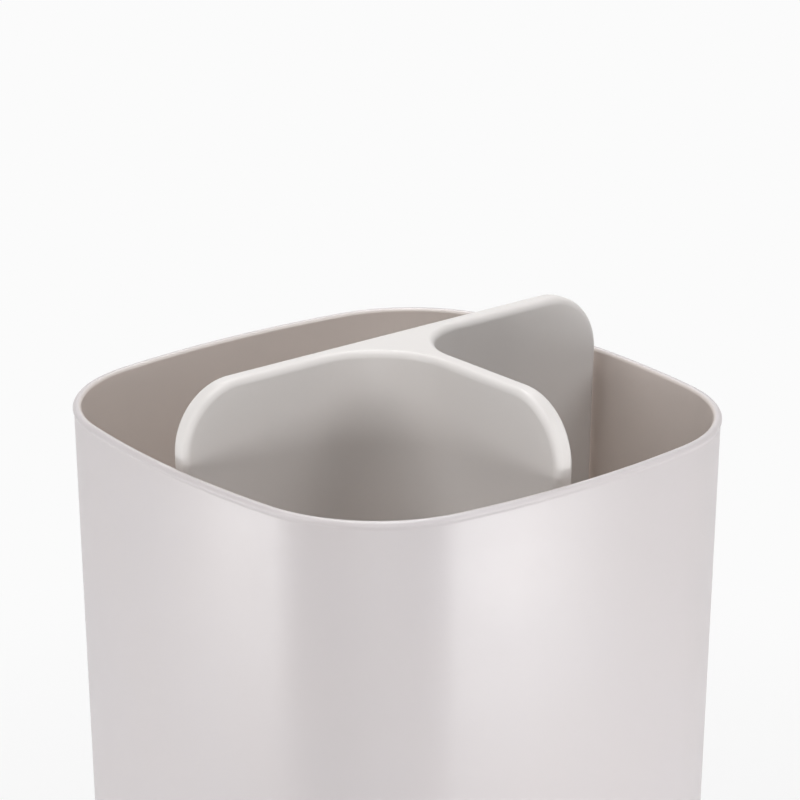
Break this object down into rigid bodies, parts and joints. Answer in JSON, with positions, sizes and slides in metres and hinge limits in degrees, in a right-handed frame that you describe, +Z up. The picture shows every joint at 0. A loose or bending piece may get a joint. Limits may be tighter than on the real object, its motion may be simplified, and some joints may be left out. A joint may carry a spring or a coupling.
{
  "type": "toothbrush holder",
  "caption": "Free-standing soft square cup with a lift-out drain plate and a winged divider that splits it into compartments for brushes and paste.",
  "frame": {"origin": "on the surface that the holder stands on, under the middle of the cup", "axes": "+Z up; +X to the right and -Y to the front, square to the cup's bowed sides; the divider's front wing points along -Y"},
  "size_m": [0.0914, 0.0914, 0.12],
  "materials": {
    "cup_plastic": "matte, pale warm grey",
    "insert_plastic": "satin, off-white",
    "foot_rubber": "matte silicone, grey"
  },
  "bodies": {
    "cup": {"outer_cup": "cup_plastic", "foot_front_left": "foot_rubber", "foot_front_right": "foot_rubber", "foot_back_left": "foot_rubber", "foot_back_right": "foot_rubber"},
    "plate": {"drain_plate": "insert_plastic"},
    "divider": {"divider": "insert_plastic"}
  },
  "joints": [
    {"name": "insert_lift", "type": "slide", "parent": "cup", "child": "plate", "axis": [0, 0, 1], "range_m": [0, 0.115]},
    {"name": "divider_pull", "type": "slide", "parent": "plate", "child": "divider", "axis": [0, 0, 1], "range_m": [0, 0.03]}
  ]
}
